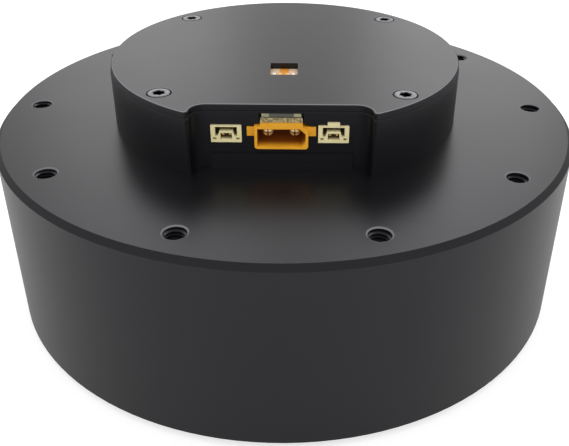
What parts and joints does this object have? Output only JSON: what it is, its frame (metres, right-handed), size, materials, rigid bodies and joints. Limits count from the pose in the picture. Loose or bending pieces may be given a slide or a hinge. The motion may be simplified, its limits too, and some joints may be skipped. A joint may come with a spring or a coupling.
{
  "type": "robot joint actuator",
  "caption": "Round rotary joint actuator: motor and planetary gear stage in one shell, output flange in front, driver board boss with notched connectors behind.",
  "frame": {"origin": "centre of the output flange's front face, on the axis of rotation", "axes": "+Z along the axis of rotation, from the output face to the rear face; -Y towards the connector notch"},
  "size_m": [0.12, 0.12, 0.0517],
  "materials": {
    "housing_black": "black anodised, fine blasted",
    "steel": "ground",
    "screw_steel": "plain steel",
    "gear_steel": "hardened, ground",
    "black_screw": "black oxide",
    "bronze": "sintered bronze",
    "gold": "gold plated",
    "copper": "enamelled copper",
    "lamination": "electrical steel stack",
    "magnet": "nickel plated",
    "yellow_nylon": "moulded nylon",
    "ivory_nylon": "moulded nylon",
    "board": "solder mask",
    "chip": "moulded epoxy",
    "ceramic": "chip part",
    "switch_case": "moulded",
    "switch_lever": "moulded",
    "can": "drawn",
    "insulation": "silicone",
    "seal": "nitrile"
  },
  "bodies": {
    "housing": {"main_housing": "housing_black", "front_housing": "housing_black", "front_screws": "black_screw", "driver_cover": "housing_black", "cover_screws": "screw_steel", "driver_board": "board", "board_screws": "screw_steel", "power_connector": "yellow_nylon", "power_pins": "gold", "signal_connector_left": "ivory_nylon", "signal_connector_right": "ivory_nylon", "signal_contacts_left": "gold", "signal_contacts_right": "gold", "shunt_resistor": "ceramic", "dip_switch": "switch_case", "encoder_chip": "chip", "power_transistors": "chip", "capacitors": "can", "stator_core": "lamination", "stator_coils": "copper", "phase_leads": "insulation", "ring_gear": "gear_steel", "output_bearing_outer": "steel", "output_seal": "seal", "rear_bearing_outer": "steel"},
    "rotor": {"rotor_ring": "steel", "rotor_magnets": "magnet", "rotor_hub": "steel", "hub_screws": "black_screw", "sun_gear": "gear_steel", "encoder_magnet": "magnet", "rear_bearing_inner": "steel"},
    "output": {"output_flange": "steel", "carrier_plate": "steel", "carrier_screws": "black_screw", "planet_pins": "steel", "output_bearing_inner": "steel", "front_bearing_outer": "steel"},
    "planet_1": {"planet_gear_1": "gear_steel", "planet_bush_1": "bronze"},
    "planet_2": {"planet_gear_2": "gear_steel", "planet_bush_2": "bronze"},
    "planet_3": {"planet_gear_3": "gear_steel", "planet_bush_3": "bronze"},
    "output_rollers": {"output_bearing_rollers": "steel"},
    "rear_rollers": {"rear_bearing_rollers": "steel"},
    "front_rollers": {"front_bearing_rollers": "steel"},
    "lever_1": {"dip_lever_1": "switch_lever"},
    "lever_2": {"dip_lever_2": "switch_lever"},
    "lever_3": {"dip_lever_3": "switch_lever"},
    "lever_4": {"dip_lever_4": "switch_lever"}
  },
  "joints": [
    {"name": "rotor_spin", "type": "hinge", "parent": "housing", "child": "rotor", "pos_m": [0, 0, 0.0357], "axis": [0, 0, 1], "continuous": true},
    {"name": "output_spin", "type": "hinge", "parent": "housing", "child": "output", "pos_m": [0, 0, 0.0062], "axis": [0, 0, 1], "continuous": true},
    {"name": "output_roller_orbit", "type": "hinge", "parent": "housing", "child": "output_rollers", "pos_m": [0, 0, 0.0062], "axis": [0, 0, 1], "continuous": true},
    {"name": "rear_roller_orbit", "type": "hinge", "parent": "housing", "child": "rear_rollers", "pos_m": [0, 0, 0.0357], "axis": [0, 0, 1], "continuous": true},
    {"name": "front_roller_orbit", "type": "hinge", "parent": "output", "child": "front_rollers", "pos_m": [0, 0, 0.0082], "axis": [0, 0, 1], "continuous": true},
    {"name": "planet_1_spin", "type": "hinge", "parent": "output", "child": "planet_1", "pos_m": [0, 0.018, 0.0187], "axis": [0, 0, 1], "continuous": true},
    {"name": "planet_2_spin", "type": "hinge", "parent": "output", "child": "planet_2", "pos_m": [-0.01559, -0.009, 0.0187], "axis": [0, 0, 1], "continuous": true},
    {"name": "planet_3_spin", "type": "hinge", "parent": "output", "child": "planet_3", "pos_m": [0.01559, -0.009, 0.0187], "axis": [0, 0, 1], "continuous": true},
    {"name": "lever_1_slide", "type": "slide", "parent": "housing", "child": "lever_1", "axis": [0, 1, 0], "range_m": [0, 0.001]},
    {"name": "lever_2_slide", "type": "slide", "parent": "housing", "child": "lever_2", "axis": [0, 1, 0], "range_m": [0, 0.001]},
    {"name": "lever_3_slide", "type": "slide", "parent": "housing", "child": "lever_3", "axis": [0, 1, 0], "range_m": [0, 0.001]},
    {"name": "lever_4_slide", "type": "slide", "parent": "housing", "child": "lever_4", "axis": [0, 1, 0], "range_m": [0, 0.001]}
  ],
  "couplings": [
    {"joint": "output_spin", "follows": "rotor_spin", "ratio": 0.16667},
    {"joint": "planet_1_spin", "follows": "rotor_spin", "ratio": -0.41667},
    {"joint": "planet_2_spin", "follows": "rotor_spin", "ratio": -0.41667},
    {"joint": "planet_3_spin", "follows": "rotor_spin", "ratio": -0.41667},
    {"joint": "output_roller_orbit", "follows": "rotor_spin", "ratio": 0.0801},
    {"joint": "rear_roller_orbit", "follows": "rotor_spin", "ratio": 0.4394},
    {"joint": "front_roller_orbit", "follows": "rotor_spin", "ratio": 0.3333}
  ]
}
